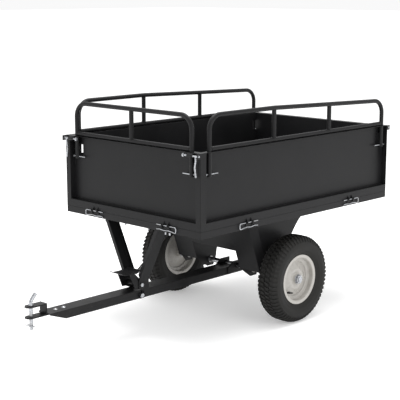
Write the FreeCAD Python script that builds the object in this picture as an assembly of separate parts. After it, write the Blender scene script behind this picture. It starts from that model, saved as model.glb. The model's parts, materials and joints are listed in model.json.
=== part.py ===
import FreeCAD, Part
import math
import os

# Tow behind dump cart.  Millimetres, +Z up, Z = 0 on the ground, X = 0 in the middle of the cart.
# The hitch points to -Y.  Facing forward, the left side is +X and the right side is -X.
# Y = 0 is half way between the hitch's tip and the rearmost keeper ear.

# ---------- driving dimensions ----------
# bed and its folding sides
bed_width = 859.0
bed_length = 1323.0
deck_top = 530.0
skirt_height = 30.0
deck_sheet = 2.0
panel_height = 327.6
panel_depth = 30.0
panel_sheet = 1.5
panel_gap = 0.4
gate_gap = 0.6
band_height = 33.0
side_strip = 32.0
gate_strip = 25.0

# wheels and axle
tyre_radius = 203.0
tyre_width = 115.0
track = 766.0
rim_flange_radius = 115.7
rim_seat_radius = 101.6
rim_well_radius = 86.0
rim_width = 84.0
rim_wall = 2.5
axle_radius = 12.7
hub_outer_radius = 24.0
bearing_radius = 17.5
bearing_length = 16.0
running_gap = 0.05

# drawbar and hitch
bar_width = 76.0
bar_height = 38.0
bar_sheet = 3.0
bar_top = 206.0
bar_front_inset = 483.0
bar_taper = 85.0
hitch_reach = 578.0
jaw_width = 44.0
jaw_sheet = 6.0
jaw_gap = 40.0
jaw_depth = 88.0
hitch_pin_radius = 8.0
hitch_pin_inset = 26.0
hitch_pin_tail = 50.0

# rails above the sides
rail_radius = 10.0
rail_wall = 1.5
rail_bend = 62.0
rail_top = 1007.5
rail_low_top = 980.0
front_rail_leg = 365.0
side_rail_front_leg = 67.0
side_rail_rear_leg = 32.5
side_posts = (477.0, 870.0)
leg_drop = 104.0
window_height = 48.0
window_width = 34.0
window_drop = 40.0
window_shift = 6.0
lock_pin_radius = 3.0
lock_pin_length = 72.0

# fold hinges of the sides
hinge_offset = 5.5
hinge_ear = 5.0
clip_wire = 2.25
gate_hinge = 228.0
side_hinge = 363.5

# corner bolts
bolt_radius = 4.5
bolt_drop = 11.6
bolt_offset = 10.0
bolt_inner = 334.0
bolt_through = 1.5
bolt_guide_inner = 364.0
bolt_guide_width = 29.0
bolt_handle_x = 411.0
bolt_handle = 88.0
ear_reach = 20.0

# struts, dump latch and pedal
strut_width = 60.0
strut_sheet = 3.0
strut_flange = 15.0
strut_front = 5.0
strut_top_x = 166.0
strut_foot_top = 250.0
lever_gap = 2.0
foot_gap = 1.0
pedal_pivot_y = 20.0
pedal_pivot_z = 232.0
pivot_bolt_radius = 5.0
striker_radius = 6.0
striker_y_in = 22.0
striker_z = 184.0
lever_sheet = 4.0
pedal_z = 288.0
spring_radius = 6.5
spring_eye_y = 305.0
spring_eye_z = 480.0

# axle brackets
bracket_inner = 140.0
bracket_chamfer = 264.0
bracket_outer = 290.0
chamfer_back = 32.0
bracket_sheet = 3.0
bracket_front = 468.0
bracket_rear = 900.0
bracket_web_depth = 190.0
member_width = 50.0
member_depth = 26.0

# fasteners
deck_bolt_radius = 4.0
bolt_hole_gap = 0.5

# ---------- worked out from the driving dimensions ----------
bed_front = (hitch_reach - bed_length - ear_reach) / 2
bed_rear = bed_front + bed_length
axle_y = bed_front + bed_length / 2
axle_z = tyre_radius
skirt_bottom = deck_top - skirt_height
floor_under = deck_top - deck_sheet
member_bottom = floor_under - member_depth
panel_bottom = deck_top + panel_gap
panel_top = panel_bottom + panel_height
half_width = bed_width / 2
gate_half = half_width - panel_sheet - gate_gap
rear_gate_half = half_width - panel_depth - gate_gap
rail_low = panel_top + rail_radius + 0.2
rail_y = panel_depth / 2
wheel_x = track / 2

TURN = {"front": 0, "rear": 180, "left": 90, "right": -90}
SPOT = {"front": (0, bed_front), "rear": (0, bed_rear),
        "left": (half_width, axle_y), "right": (-half_width, axle_y)}


# ---------- small helpers ----------
def vec(x, y, z):
    return FreeCAD.Vector(x, y, z)


def box(x0, y0, z0, x1, y1, z1):
    return Part.makeBox(x1 - x0, y1 - y0, z1 - z0, vec(x0, y0, z0))


def rod(start, end, radius):
    run = vec(*end) - vec(*start)
    return Part.makeCylinder(radius, run.Length, vec(*start), run)


def sleeve(start, end, outer, inner):
    return rod(start, end, outer).cut(rod(start, end, inner))


def prism(points, direction):
    corners = [vec(*p) for p in points]
    face = Part.Face(Part.makePolygon(corners + corners[:1]))
    return face.extrude(vec(*direction))


def plate_yz(points, x0, x1):
    return prism([(x0, y, z) for y, z in points], (x1 - x0, 0, 0))


def plate_xz(points, y0, y1):
    return prism([(x, y0, z) for x, z in points], (0, y1 - y0, 0))


def fuse(shapes):
    return shapes[0].multiFuse(shapes[1:]).removeSplitter()


def bent_path(points, bend):
    """Straight runs through the points, joined by tangent arcs of radius bend."""
    corners = [vec(*p) for p in points]
    edges = []
    start = corners[0]
    for before, corner, after in zip(corners, corners[1:], corners[2:]):
        way_in = (corner - before).normalize()
        way_out = (after - corner).normalize()
        turn = way_in.getAngle(way_out)
        cut = bend * math.tan(turn / 2)
        arc_start = corner - way_in * cut
        arc_end = corner + way_out * cut
        to_middle = (way_out - way_in).normalize()
        middle = corner + to_middle * bend * (1 / math.cos(turn / 2) - 1)
        edges.append(Part.LineSegment(start, arc_start).toShape())
        edges.append(Part.Arc(arc_start, middle, arc_end).toShape())
        start = arc_end
    edges.append(Part.LineSegment(start, corners[-1]).toShape())
    return Part.Wire(edges)


def bent_rod(points, radius, bend):
    path = bent_path(points, bend)
    first = vec(*points[0])
    ring = Part.Circle(first, vec(*points[1]) - first, radius).toShape()
    return path.makePipeShell([Part.Wire([ring])], True, False)


def hexagon(centre, axis, across, height):
    """A hexagonal prism that starts at centre and runs along axis (X, Y or Z unit)."""
    corner = across / math.sqrt(3)
    along = vec(*axis)
    first = vec(axis[2], axis[0], axis[1])
    second = along.cross(first)
    ring = []
    for step in range(6):
        angle = math.radians(60 * step)
        ring.append(vec(*centre) + first * corner * math.cos(angle) + second * corner * math.sin(angle))
    return Part.Face(Part.makePolygon(ring + ring[:1])).extrude(along * height)


def mirror_x(shape):
    return shape.mirror(vec(0, 0, 0), vec(1, 0, 0))


def place(shape, side):
    """Move a piece drawn for the front (outer face on Y = 0, bed at +Y) to its own side."""
    moved = shape.copy()
    moved.rotate(vec(0, 0, 0), vec(0, 0, 1), TURN[side])
    moved.translate(vec(SPOT[side][0], SPOT[side][1], 0))
    return moved


def save(node, *shapes):
    solids = [solid for shape in shapes for solid in shape.Solids]
    shape = solids[0] if len(solids) == 1 else Part.makeCompound(solids)
    shape.exportStep("parts/" + node + ".step")
    print(f"{node:28s} solids {len(solids):2d}  volume {shape.Volume / 1000:9.1f} cm3  valid {shape.isValid()}")


os.makedirs("parts", exist_ok=True)

# ---------- deck ----------
# Every deck bolt stands on a cross member: three pairs at the front, four at each axle bracket.
front_member_y = bed_front + 12
rear_member_ys = (bed_front + bracket_front + 12, bed_front + bracket_rear - member_width - 12)
strut_bolt_xs = (strut_top_x + 14, strut_top_x + 40)
bracket_bolt_xs = (bracket_inner + 32, bracket_outer - 28)
deck_bolts = [(74.0, front_member_y + 29)]
deck_bolts += [(x, bed_front + strut_front + 36) for x in strut_bolt_xs]
deck_bolts += [(x, y + member_width / 2) for x in bracket_bolt_xs for y in rear_member_ys]
deck_bolts += [(-x, y) for x, y in deck_bolts]
deck_holes = [rod((x, y, skirt_bottom - 40), (x, y, deck_top + 10), deck_bolt_radius + bolt_hole_gap)
              for x, y in deck_bolts]


def drill(shape):
    return shape.cut(Part.makeCompound(deck_holes))


skin = box(-half_width, bed_front, skirt_bottom, half_width, bed_rear, deck_top)
inside = box(-half_width + deck_sheet, bed_front + deck_sheet, skirt_bottom - 1,
             half_width - deck_sheet, bed_rear - deck_sheet, floor_under)
save("bed_floor", drill(skin.cut(inside)))

member_half = half_width - deck_sheet - 1


def cross_member(y):
    outer = box(-member_half, y, member_bottom, member_half, y + member_width, floor_under)
    channel = box(-member_half - 1, y + deck_sheet, member_bottom + deck_sheet,
                  member_half + 1, y + member_width - deck_sheet, floor_under + 1)
    return drill(outer.cut(channel))


save("front_cross_member", cross_member(front_member_y))
save("middle_cross_member", cross_member(bed_front + spring_eye_y - member_width / 2))

bolt_stem = 22.0
nut_height = 7.0
strut_flange_bottom = member_bottom - strut_sheet
carriage_bolts = []
nuts = []
for x, y in deck_bolts:
    front_pair = abs(x) < strut_top_x - 50 and y < axle_y - 100
    stack = member_bottom if front_pair and y < bed_front + 100 else strut_flange_bottom
    head = rod((x, y, deck_top), (x, y, deck_top + 3), 9)
    shank = rod((x, y, stack - bolt_stem), (x, y, deck_top), deck_bolt_radius)
    carriage_bolts.append(fuse([head, shank]))
    nut = hexagon((x, y, stack - nut_height), (0, 0, 1), 13, nut_height)
    nuts.append(nut.cut(rod((x, y, stack - 40), (x, y, stack + 1), deck_bolt_radius)))
save("deck_bolts", *carriage_bolts)
save("deck_nuts", *nuts)

# ---------- fold hinges: ears on the skirt, ears on the panels, clips as pins ----------
ear_sheet = 4.0
skirt_ear_at = 22.0
panel_ear_at = 14.0
pin_hole = clip_wire + 0.06


def hinge_ear_plate(centre, root):
    """An upright ear: a round eye on the hinge axis with a root on the plane Y = 0."""
    eye = rod((centre - ear_sheet / 2, -hinge_offset, deck_top),
              (centre + ear_sheet / 2, -hinge_offset, deck_top), hinge_ear)
    arm = plate_yz(root, centre - ear_sheet / 2, centre + ear_sheet / 2)
    hole = rod((centre - ear_sheet, -hinge_offset, deck_top),
               (centre + ear_sheet, -hinge_offset, deck_top), pin_hole)
    return fuse([eye, arm]).cut(hole)


skirt_root = [(0, deck_top - 18), (0, deck_top - 1.5), (-1.5, deck_top),
              (-hinge_offset, deck_top), (-hinge_offset - 4, deck_top - 3)]
panel_root = [(0, deck_top + 4), (0, deck_top + 20), (-hinge_offset - 4, deck_top + 3),
              (-hinge_offset, deck_top)]


def clip(centre, way):
    """A hairpin clip: its straight leg is the hinge pin, its wavy leg hangs outside."""
    wave = [(-54, 0), (62, 0), (62, -26), (38, -21), (16, -19), (-8, -22), (-34, -18.5), (-54, -21)]
    points = [(centre + way * along, -hinge_offset, deck_top + down) for along, down in wave]
    return bent_rod(points, clip_wire, 8.0)


hinge_spots = {"front": gate_hinge, "rear": gate_hinge, "left": side_hinge, "right": side_hinge}
skirt_ears = []
for side, spot in hinge_spots.items():
    for centre in (-spot, spot):
        for at in (-skirt_ear_at, skirt_ear_at):
            skirt_ears.append(place(hinge_ear_plate(centre + at, skirt_root), side))
    save(side + "_hinge_clips", place(clip(-spot, -1), side), place(clip(spot, 1), side))
save("hinge_ears", *skirt_ears)

# ---------- rails ----------
window_top = panel_top - window_drop
window_bottom = window_top - window_height
lock_pin_z = window_bottom - 2 * lock_pin_radius
leg_bottom = panel_top - leg_drop
leg_reach = rail_radius + 0.4


def hoop(points, radius):
    """The bent tube's outside or bore; a slight knee between two straights is a ball."""
    if len(points) == 4:
        return [bent_rod(points, radius, rail_bend)]
    knee = Part.makeSphere(radius, vec(*points[2]))
    return [bent_rod(points[:3], radius, rail_bend), knee, bent_rod(points[2:], radius, rail_bend)]


def rail(legs, posts, tops):
    """A bent tube hoop with posts and a low bar, drawn for the front: legs are X places."""
    first, last = legs
    points = [(first, rail_y, leg_bottom)]
    points += [(x, rail_y, z) for x, z in tops]
    points += [(last, rail_y, leg_bottom)]

    pieces = hoop(points, rail_radius)
    pieces += [rod((first, rail_y, rail_low), (last, rail_y, rail_low), rail_radius)]
    bores = [fuse(hoop(points, rail_radius - rail_wall))]
    knots = [first] + list(posts) + [last]
    for x, after in zip(knots, knots[1:]):
        bores.append(rod((x + rail_radius, rail_y, rail_low), (after - rail_radius, rail_y, rail_low),
                         rail_radius - rail_wall))
    for x in posts:
        top = rail_height(tops, x)
        pieces.append(rod((x, rail_y, rail_low), (x, rail_y, top), rail_radius))
        bores.append(rod((x, rail_y, rail_low + rail_radius), (x, rail_y, top - rail_radius),
                         rail_radius - rail_wall))
    outer = fuse(pieces)
    for bore in bores:
        outer = outer.cut(bore)
    for x in (first, last):
        outer = outer.cut(rod((x - 40, rail_y, lock_pin_z), (x + 40, rail_y, lock_pin_z),
                              lock_pin_radius + running_gap))
    return outer


def rail_height(tops, x):
    for (x0, z0), (x1, z1) in zip(tops, tops[1:]):
        low, high = min(x0, x1), max(x0, x1)
        if low <= x <= high:
            return z0 + (z1 - z0) * (x - x0) / (x1 - x0)
    return tops[-1][1]


def lock_pin(x, way):
    start = x - way * 20
    stem = rod((start, rail_y, lock_pin_z), (x + way * (lock_pin_length - 20), rail_y, lock_pin_z),
               lock_pin_radius)
    head = rod((start - way * 3, rail_y, lock_pin_z), (start, rail_y, lock_pin_z), 5.5)
    return fuse([head, stem])


# ---------- the four pressed panels ----------
def panel(half, strips, cover, legs, hinge, ears):
    """A pan of sheet with its flanges outward: half its length, the strip at each end, whether its
    top flange runs over the strips, its rail's legs, its hinges, and keeper ears at its ends."""
    low, high = -half + strips[0], half - strips[1]
    z0, z1 = panel_bottom, panel_top
    cover_low, cover_high = (-half, half) if cover else (low, high)
    pieces = [
        box(low, panel_depth - panel_sheet, z0, high, panel_depth, z1),
        box(-half, 0, z0, half, panel_sheet, z0 + band_height),
        box(low, 0, z0 + band_height - panel_sheet, high, panel_depth, z0 + band_height),
        box(cover_low, 0, z1 - panel_sheet, cover_high, panel_depth, z1),
        box(low, 0, z0, low + panel_sheet, panel_depth, z1),
        box(high - panel_sheet, 0, z0, high, panel_depth, z1),
    ]
    if strips[0] > 0:
        pieces.append(box(-half, 0, z0, low, panel_sheet, z1))
    if strips[1] > 0:
        pieces.append(box(high, 0, z0, half, panel_sheet, z1))
    bolt_z = z1 - bolt_drop
    if ears:
        for way in (-1, 1):
            x_in, x_out = sorted((way * (half - 4), way * (half + ear_reach)))
            pieces.append(box(x_in, 0, bolt_z - 12, x_out, panel_sheet, bolt_z + 11))
    for centre in (-hinge, hinge):
        for at in (-panel_ear_at, panel_ear_at):
            pieces.append(hinge_ear_plate(centre + at, panel_root))
    shape = fuse(pieces)
    for x in legs:
        shape = shape.cut(rod((x, rail_y, z1 - 5), (x, rail_y, z1 + 5), leg_reach))
        middle = x - math.copysign(window_shift, x)
        shape = shape.cut(box(middle - window_width / 2, panel_depth - 5, window_bottom,
                              middle + window_width / 2, panel_depth + 5, window_top))
    if ears:
        for way in (-1, 1):
            x = way * (half + bolt_offset)
            shape = shape.cut(rod((x, -5, bolt_z), (x, 5, bolt_z), bolt_radius + 0.6))
    return shape


front_legs = (-front_rail_leg, front_rail_leg)
half_length = bed_length / 2
side_legs = (-half_length + side_rail_front_leg, half_length - side_rail_rear_leg)
save("front_panel", place(panel(gate_half, (gate_strip, gate_strip), True, front_legs, gate_hinge,
                                False), "front"))
save("rear_panel", place(panel(rear_gate_half, (0, 0), True, (), gate_hinge, False), "rear"))
left_panel = place(panel(half_length, (side_strip, 0), False, side_legs, side_hinge, True), "left")
save("left_panel", left_panel)
save("right_panel", mirror_x(left_panel))

front_tops = [(-front_rail_leg, rail_top), (front_rail_leg, rail_top)]
save("front_rail", place(rail(front_legs, (0,), front_tops), "front"))
save("front_rail_pins", place(lock_pin(-front_rail_leg, 1), "front"),
     place(lock_pin(front_rail_leg, -1), "front"))

post_xs = [y - half_length for y in side_posts]
side_tops = [(side_legs[0], rail_top), (post_xs[0], rail_top), (side_legs[1], rail_low_top)]
left_rail = place(rail(side_legs, post_xs, side_tops), "left")
left_pins = [place(lock_pin(side_legs[0], 1), "left"), place(lock_pin(side_legs[1], -1), "left")]
save("left_rail", left_rail)
save("left_rail_pins", *left_pins)
save("right_rail", mirror_x(left_rail))
save("right_rail_pins", *[mirror_x(pin) for pin in left_pins])

# ---------- corner bolts on the front and rear gates ----------
bolt_z = panel_top - bolt_drop
guide_inner = bolt_guide_inner
guide_width = bolt_guide_width
guide_radius = 8.0
guide_sheet = 3.0
handle_at = bolt_handle_x
bolt_tip = half_width + bolt_through


def corner_bolt():
    stem = rod((bolt_inner, -bolt_offset, bolt_z), (bolt_tip, -bolt_offset, bolt_z), bolt_radius)
    handle = bent_rod([(handle_at, -bolt_offset, bolt_z), (handle_at, -bolt_offset, bolt_z - 18),
                       (handle_at - 5, -bolt_offset, bolt_z - 48),
                       (handle_at + 1, -bolt_offset, bolt_z - bolt_handle)], 4.0, 30.0)
    return fuse([stem, handle])


def corner_nut():
    nut = hexagon((bolt_inner + 3, -bolt_offset, bolt_z), (1, 0, 0), 15, 9)
    return nut.cut(rod((bolt_inner, -bolt_offset, bolt_z), (bolt_inner + 20, -bolt_offset, bolt_z),
                       bolt_radius))


def bolt_guide():
    """A strap round the corner bolt, welded under the edge of the panel's top flange."""
    guide_end = guide_inner + guide_width
    flange_under = panel_top - panel_sheet
    loop = rod((guide_inner, -bolt_offset, bolt_z), (guide_end, -bolt_offset, bolt_z), guide_radius)
    tongue = box(guide_inner, -bolt_offset, flange_under - guide_sheet, guide_end,
                 rail_y - rail_radius - 1, flange_under)
    neck = box(guide_inner, -bolt_offset, bolt_z, guide_end, -bolt_offset + guide_radius,
               flange_under)
    bore = rod((guide_inner - 1, -bolt_offset, bolt_z), (guide_end + 1, -bolt_offset, bolt_z),
               bolt_radius + running_gap)
    return fuse([loop, tongue, neck]).cut(bore)


for end in ("front", "rear"):
    save(end + "_bolt_guides", place(bolt_guide(), end), place(mirror_x(bolt_guide()), end))
    for side in ("left", "right"):
        # On the front +X is the left side; the rear gate is turned about, so it swaps.
        same = (end == "front") == (side == "left")
        piece = corner_bolt() if same else mirror_x(corner_bolt())
        nut = corner_nut() if same else mirror_x(corner_nut())
        save(f"{end}_{side}_corner_bolt", place(piece, end), place(nut, end))

# ---------- drawbar ----------
bar_half = bar_width / 2
bar_bottom = bar_top - bar_height
bar_front = bed_front - bar_front_inset
bar_rear = axle_y + 35
bar_side = [(bar_front, bar_top), (bar_front, bar_top - 7), (bar_front + bar_taper, bar_bottom),
            (bar_rear, bar_bottom), (bar_rear, bar_top)]
bar_inside = [(bar_front - 1, bar_top - bar_sheet), (bar_front - 1, bar_bottom - 1),
              (bar_rear + 1, bar_bottom - 1), (bar_rear + 1, bar_top - bar_sheet)]
hitch_bolt_ys = (bed_front - 424, bed_front - 381)
striker_at = (bed_front + striker_y_in, striker_z)
drawbar = plate_yz(bar_side, -bar_half, bar_half)
drawbar = drawbar.cut(plate_yz(bar_inside, -bar_half + bar_sheet, bar_half - bar_sheet))
for y in hitch_bolt_ys:
    drawbar = drawbar.cut(rod((0, y, bar_top - 20), (0, y, bar_top + 5), 6.0))
drawbar = drawbar.cut(rod((-60, *striker_at), (60, *striker_at), striker_radius))
axle_bore = rod((-60, axle_y, axle_z), (60, axle_y, axle_z), axle_radius + running_gap)
save("drawbar", drawbar.cut(rod((-60, axle_y, axle_z), (60, axle_y, axle_z), axle_radius + 4)))

ear_plate = 5.0
pivot_ears = []
for way in (-1, 1):
    x0, x1 = sorted((way * bar_half, way * (bar_half + ear_plate)))
    ear = plate_yz([(axle_y - 70, bar_bottom + 4), (axle_y + 30, bar_bottom + 4),
                    (axle_y + 30, axle_z + 26), (axle_y - 30, axle_z + 26),
                    (axle_y - 70, bar_top - 4)], x0, x1)
    pivot_ears.append(ear.cut(axle_bore))
save("pivot_ears", *pivot_ears)

# ---------- hitch ----------
jaw_tip = bed_front - hitch_reach
web_front = jaw_tip + jaw_depth
strap_top = bar_top - bar_sheet
strap_bottom = strap_top - jaw_sheet
upper_bottom = strap_top + jaw_gap
pin_y = jaw_tip + hitch_pin_inset
jaw_half = jaw_width / 2
nose = 14.0


def jaw_plate(y_back, z):
    points = [(-jaw_half, y_back, z), (-jaw_half, jaw_tip + nose, z), (-jaw_half + nose, jaw_tip, z),
              (jaw_half - nose, jaw_tip, z), (jaw_half, jaw_tip + nose, z), (jaw_half, y_back, z)]
    return prism(points, (0, 0, jaw_sheet))


pin_bore = rod((0, pin_y, strap_bottom - 30), (0, pin_y, upper_bottom + 30), hitch_pin_radius + 0.3)
strap = jaw_plate(hitch_bolt_ys[1] + 25, strap_bottom).cut(pin_bore)
for y in hitch_bolt_ys:
    strap = strap.cut(rod((0, y, strap_bottom - 5), (0, y, strap_top + 5), 6.0))
save("hitch_strap", strap)
web = box(-jaw_half, web_front, strap_top, jaw_half, web_front + jaw_sheet, upper_bottom + jaw_sheet)
upper = fuse([jaw_plate(web_front + jaw_sheet, upper_bottom), web])
save("upper_jaw", upper.cut(pin_bore))

hitch_bolts = []
hitch_nuts = []
for y in hitch_bolt_ys:
    dome = Part.makeSphere(14, vec(0, y, bar_top - 9)).common(
        box(-20, y - 20, bar_top, 20, y + 20, bar_top + 10))
    hitch_bolts.append(fuse([dome, rod((0, y, strap_bottom - 14), (0, y, bar_top), 5.5)]))
    nut = hexagon((0, y, strap_bottom - 9), (0, 0, 1), 18, 9)
    hitch_nuts.append(nut.cut(rod((0, y, strap_bottom - 20), (0, y, strap_bottom + 1), 5.5)))
save("hitch_bolts", *hitch_bolts)
save("hitch_nuts", *hitch_nuts)

collar_height = 5.0
pin_shoulder = upper_bottom + jaw_sheet + 0.3
pin_bottom = strap_bottom - hitch_pin_tail
pin_bend = 14.0
clip_z = strap_bottom - 32.0
pin_shape = bent_rod([(0, pin_y, pin_bottom), (0, pin_y, pin_shoulder + collar_height + 12),
                      (0, pin_y + 26, pin_shoulder + collar_height + 42)], hitch_pin_radius, pin_bend)
collar = rod((0, pin_y, pin_shoulder), (0, pin_y, pin_shoulder + collar_height), 12.0)
pin_hole_cut = rod((-20, pin_y, clip_z), (20, pin_y, clip_z), 2.0 + running_gap)
save("hitch_pin", fuse([pin_shape, collar]).cut(pin_hole_cut))

clip_points = [(-26, 0), (24, 0), (24, -17), (8, -14), (-4, -10.5), (-14, -13.5), (-26, -11)]
hitch_clip = bent_rod([(x, pin_y + down, clip_z) for x, down in clip_points], 2.0, 5.0)
save("hitch_clip", hitch_clip)

# ---------- dump latch's striker: a bolt through the drawbar's webs ----------
lever_x = bar_half + lever_gap
foot_x = lever_x + lever_sheet + foot_gap
pivot_y = bed_front + pedal_pivot_y
striker_end = foot_x + 2
striker = fuse([rod((-striker_end - 12, *striker_at), (striker_end, *striker_at), striker_radius),
                hexagon((striker_end, *striker_at), (1, 0, 0), 19, 7)])
save("striker_bolt", striker)
striker_nut = hexagon((-striker_end - 9, *striker_at), (1, 0, 0), 19, 9)
save("striker_nut", striker_nut.cut(rod((-striker_end - 20, *striker_at), (0, *striker_at),
                                        striker_radius)))

# ---------- struts ----------
strut_y0 = bed_front + strut_front
strut_y1 = strut_y0 + strut_width
strut_top = member_bottom
foot_bottom = bar_bottom + 8
# The foot runs down beside the drawbar behind the striker, so its front corner is cut away.
foot_notch = striker_at[0] + 14
foot_shoulder = 215.0


def strut():
    """A channel strut on the left: top flange outward, sloping web, upright foot."""
    s = strut_sheet
    rise = strut_top - s - strut_foot_top
    lean = (strut_top_x - foot_x) / rise
    line = [(foot_x, strut_foot_top), (strut_top_x, strut_top - s), (strut_top_x, strut_top),
            (strut_top_x + 56, strut_top), (strut_top_x + 56, strut_top - s),
            (strut_top_x + s + 1, strut_top - s), (foot_x + s, strut_foot_top - 1)]
    web_plate = plate_xz(line, strut_y0, strut_y1)
    foot = plate_yz([(strut_y0, strut_foot_top), (strut_y0, foot_shoulder), (foot_notch, bar_top - 4),
                     (foot_notch, foot_bottom), (strut_y1 - 6, foot_bottom),
                     (strut_y1, foot_bottom + 6), (strut_y1, strut_foot_top)], foot_x, foot_x + s)
    flange_low = strut_foot_top + 12
    low_x = foot_x + lean * 12 + 0.5
    flange_line = [(low_x, flange_low), (strut_top_x, strut_top - s),
                   (strut_top_x - strut_flange, strut_top - s),
                   (low_x - strut_flange * 0.5, flange_low + 18)]
    flanges = [plate_xz(flange_line, strut_y0, strut_y0 + s),
               plate_xz(flange_line, strut_y1 - s, strut_y1)]
    pivot_hole = rod((0, pivot_y, pedal_pivot_z), (200, pivot_y, pedal_pivot_z), pivot_bolt_radius + 0.2)
    return drill(fuse([web_plate, foot] + flanges)).cut(pivot_hole)


save("left_strut", strut())
save("right_strut", mirror_x(strut()))

pivot_end = foot_x + strut_sheet
pivot_shank = rod((-pivot_end - 12, pivot_y, pedal_pivot_z), (pivot_end, pivot_y, pedal_pivot_z),
                  pivot_bolt_radius)
pivot_head = hexagon((pivot_end, pivot_y, pedal_pivot_z), (1, 0, 0), 16, 6)
save("pedal_pivot_bolt", fuse([pivot_shank, pivot_head]))
pivot_nut = hexagon((-pivot_end - 8, pivot_y, pedal_pivot_z), (1, 0, 0), 16, 8)
save("pedal_pivot_nut", pivot_nut.cut(
    rod((-pivot_end - 20, pivot_y, pedal_pivot_z), (0, pivot_y, pedal_pivot_z), pivot_bolt_radius)))

# ---------- pedal lever: two side plates with hooks, a tube on the pivot, a cross rod, a foot pad ----
hook_gap = 0.6
hook_top = striker_z - striker_radius - hook_gap
hook_back = striker_at[0] + striker_radius + 1
shank = 12.0
hook_nose = 9.0
plate_base = foot_shoulder
lever_outline = [(bed_front - 44, pedal_z), (bed_front - 16, pedal_z), (bed_front + 44, pedal_pivot_z + 2),
                 (bed_front + 44, plate_base - 2), (hook_back + shank, plate_base - 12),
                 (hook_back + shank, hook_top - hook_nose + 3),
                 (hook_back + shank - 4, hook_top - hook_nose), (striker_at[0] - 6, hook_top - hook_nose),
                 (striker_at[0] - 9, hook_top), (hook_back, hook_top), (hook_back, plate_base - 10),
                 (hook_back - 6, plate_base), (bed_front - 13, plate_base)]
pivot_from = (-lever_x, pivot_y, pedal_pivot_z)
pivot_to = (lever_x, pivot_y, pedal_pivot_z)
pivot_bore = rod((-99, pivot_y, pedal_pivot_z), (99, pivot_y, pedal_pivot_z),
                 pivot_bolt_radius + running_gap)
cross_at = (bed_front + 6.0, pedal_pivot_z + 24)
lever_pieces = [
    plate_yz(lever_outline, -lever_x - lever_sheet, -lever_x),
    plate_yz(lever_outline, lever_x, lever_x + lever_sheet),
    rod(pivot_from, pivot_to, 9.0),
    rod((-lever_x - 1, *cross_at), (lever_x + 1, *cross_at), 4.0)]
save("pedal_lever", fuse(lever_pieces).cut(pivot_bore))
pad_half = lever_x + lever_sheet
pad_y0 = bed_front - 85
pad_y1 = bed_front + 22
pad = plate_yz([(pad_y0, pedal_z + 8), (pad_y0 + 16, pedal_z), (pad_y1 - 16, pedal_z),
                (pad_y1, pedal_z + 8), (pad_y1, pedal_z + 11), (pad_y1 - 17, pedal_z + 3),
                (pad_y0 + 17, pedal_z + 3), (pad_y0, pedal_z + 11)], -pad_half, pad_half)
save("foot_pad", pad)

# The return spring runs from the lever's cross rod up to an eye under the middle cross member.
spring_rise = vec(0, spring_eye_y + bed_front - cross_at[0], spring_eye_z - cross_at[1])
spring_way = vec(spring_rise.x, spring_rise.y, spring_rise.z).normalize()


def on_spring(distance):
    point = vec(0, *cross_at) + spring_way * distance
    return (point.x, point.y, point.z)


spring_length = spring_rise.Length
eye_rod = rod((-14, bed_front + spring_eye_y, spring_eye_z), (14, bed_front + spring_eye_y, spring_eye_z),
              4.0)
eye_tabs = [plate_yz([(bed_front + spring_eye_y - 10, member_bottom),
                      (bed_front + spring_eye_y - 10, spring_eye_z - 8),
                      (bed_front + spring_eye_y + 10, spring_eye_z - 8),
                      (bed_front + spring_eye_y + 10, member_bottom)], x0, x0 + 3) for x0 in (-14, 11)]
save("spring_eye", fuse([eye_rod] + eye_tabs))
coil = rod(on_spring(26), on_spring(spring_length - 26), spring_radius)
ends = [rod(on_spring(4.4), on_spring(30), 1.8),
        rod(on_spring(spring_length - 30), on_spring(spring_length - 4.4), 1.8)]
save("return_spring", fuse([coil] + ends))

# ---------- axle brackets ----------
top_z = member_bottom
low_front_y = bed_front + 567
low_front_z = 222.0
bush_radius = 16.0


def bracket():
    """The left bracket: two side plates, a sloping front plate, a chamfer, and a top flange."""
    y_front = bed_front + bracket_front
    y_rear = bed_front + bracket_rear
    s = bracket_sheet
    bow = vec(0, axle_y + 100, 375.0)
    plates = []
    for x0, back in ((bracket_inner, 0.0), (bracket_outer - s, chamfer_back)):
        low = low_front_y + back
        corners = [vec(0, y_front + back, top_z), vec(0, low, low_front_z),
                   vec(0, axle_y - 22, axle_z - 32), vec(0, axle_y + 22, axle_z - 32),
                   vec(0, axle_y + 42, axle_z + 10)]
        edges = [Part.LineSegment(a, b).toShape() for a, b in zip(corners, corners[1:])]
        end = vec(0, y_rear, top_z)
        edges.append(Part.Arc(corners[-1], bow, end).toShape())
        edges.append(Part.LineSegment(end, corners[0]).toShape())
        plate = Part.Face(Part.Wire(edges)).extrude(vec(s, 0, 0))
        plate.translate(vec(x0, 0, 0))
        plates.append(plate)
    front = [(bracket_inner, y_front, top_z), (bracket_inner, low_front_y, low_front_z),
             (bracket_chamfer, low_front_y, low_front_z), (bracket_chamfer, y_front, top_z)]
    chamfer = [(bracket_chamfer, y_front, top_z), (bracket_chamfer, low_front_y, low_front_z),
               (bracket_outer, low_front_y + chamfer_back, low_front_z),
               (bracket_outer, y_front + chamfer_back, top_z)]
    flange = box(bracket_inner, y_front, top_z - s, bracket_outer, y_rear, top_z)
    corner = [(bracket_chamfer, y_front - 1, top_z - 9), (bracket_outer + 1, y_front - 1, top_z - 9),
              (bracket_outer + 1, y_front + chamfer_back, top_z - 9)]
    flange = flange.cut(prism(corner, (0, 0, 20)))
    bores = rod((bracket_inner - 5, axle_y, axle_z), (bracket_outer + 5, axle_y, axle_z), bush_radius)
    return drill(fuse(plates + [prism(front, (0, s, 0)), prism(chamfer, (0, s, 0)), flange]).cut(bores))


def bracket_web():
    """A sloping plate in line with the brackets' fronts closes the gap between them."""
    y_top = bed_front + bracket_front
    y_low = y_top + (low_front_y - y_top) * bracket_web_depth / (top_z - low_front_z)
    corners = [(y_top, top_z), (y_low, top_z - bracket_web_depth),
               (y_low + bracket_sheet, top_z - bracket_web_depth), (y_top + bracket_sheet, top_z)]
    return plate_yz(corners, -bracket_inner, bracket_inner)


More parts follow.
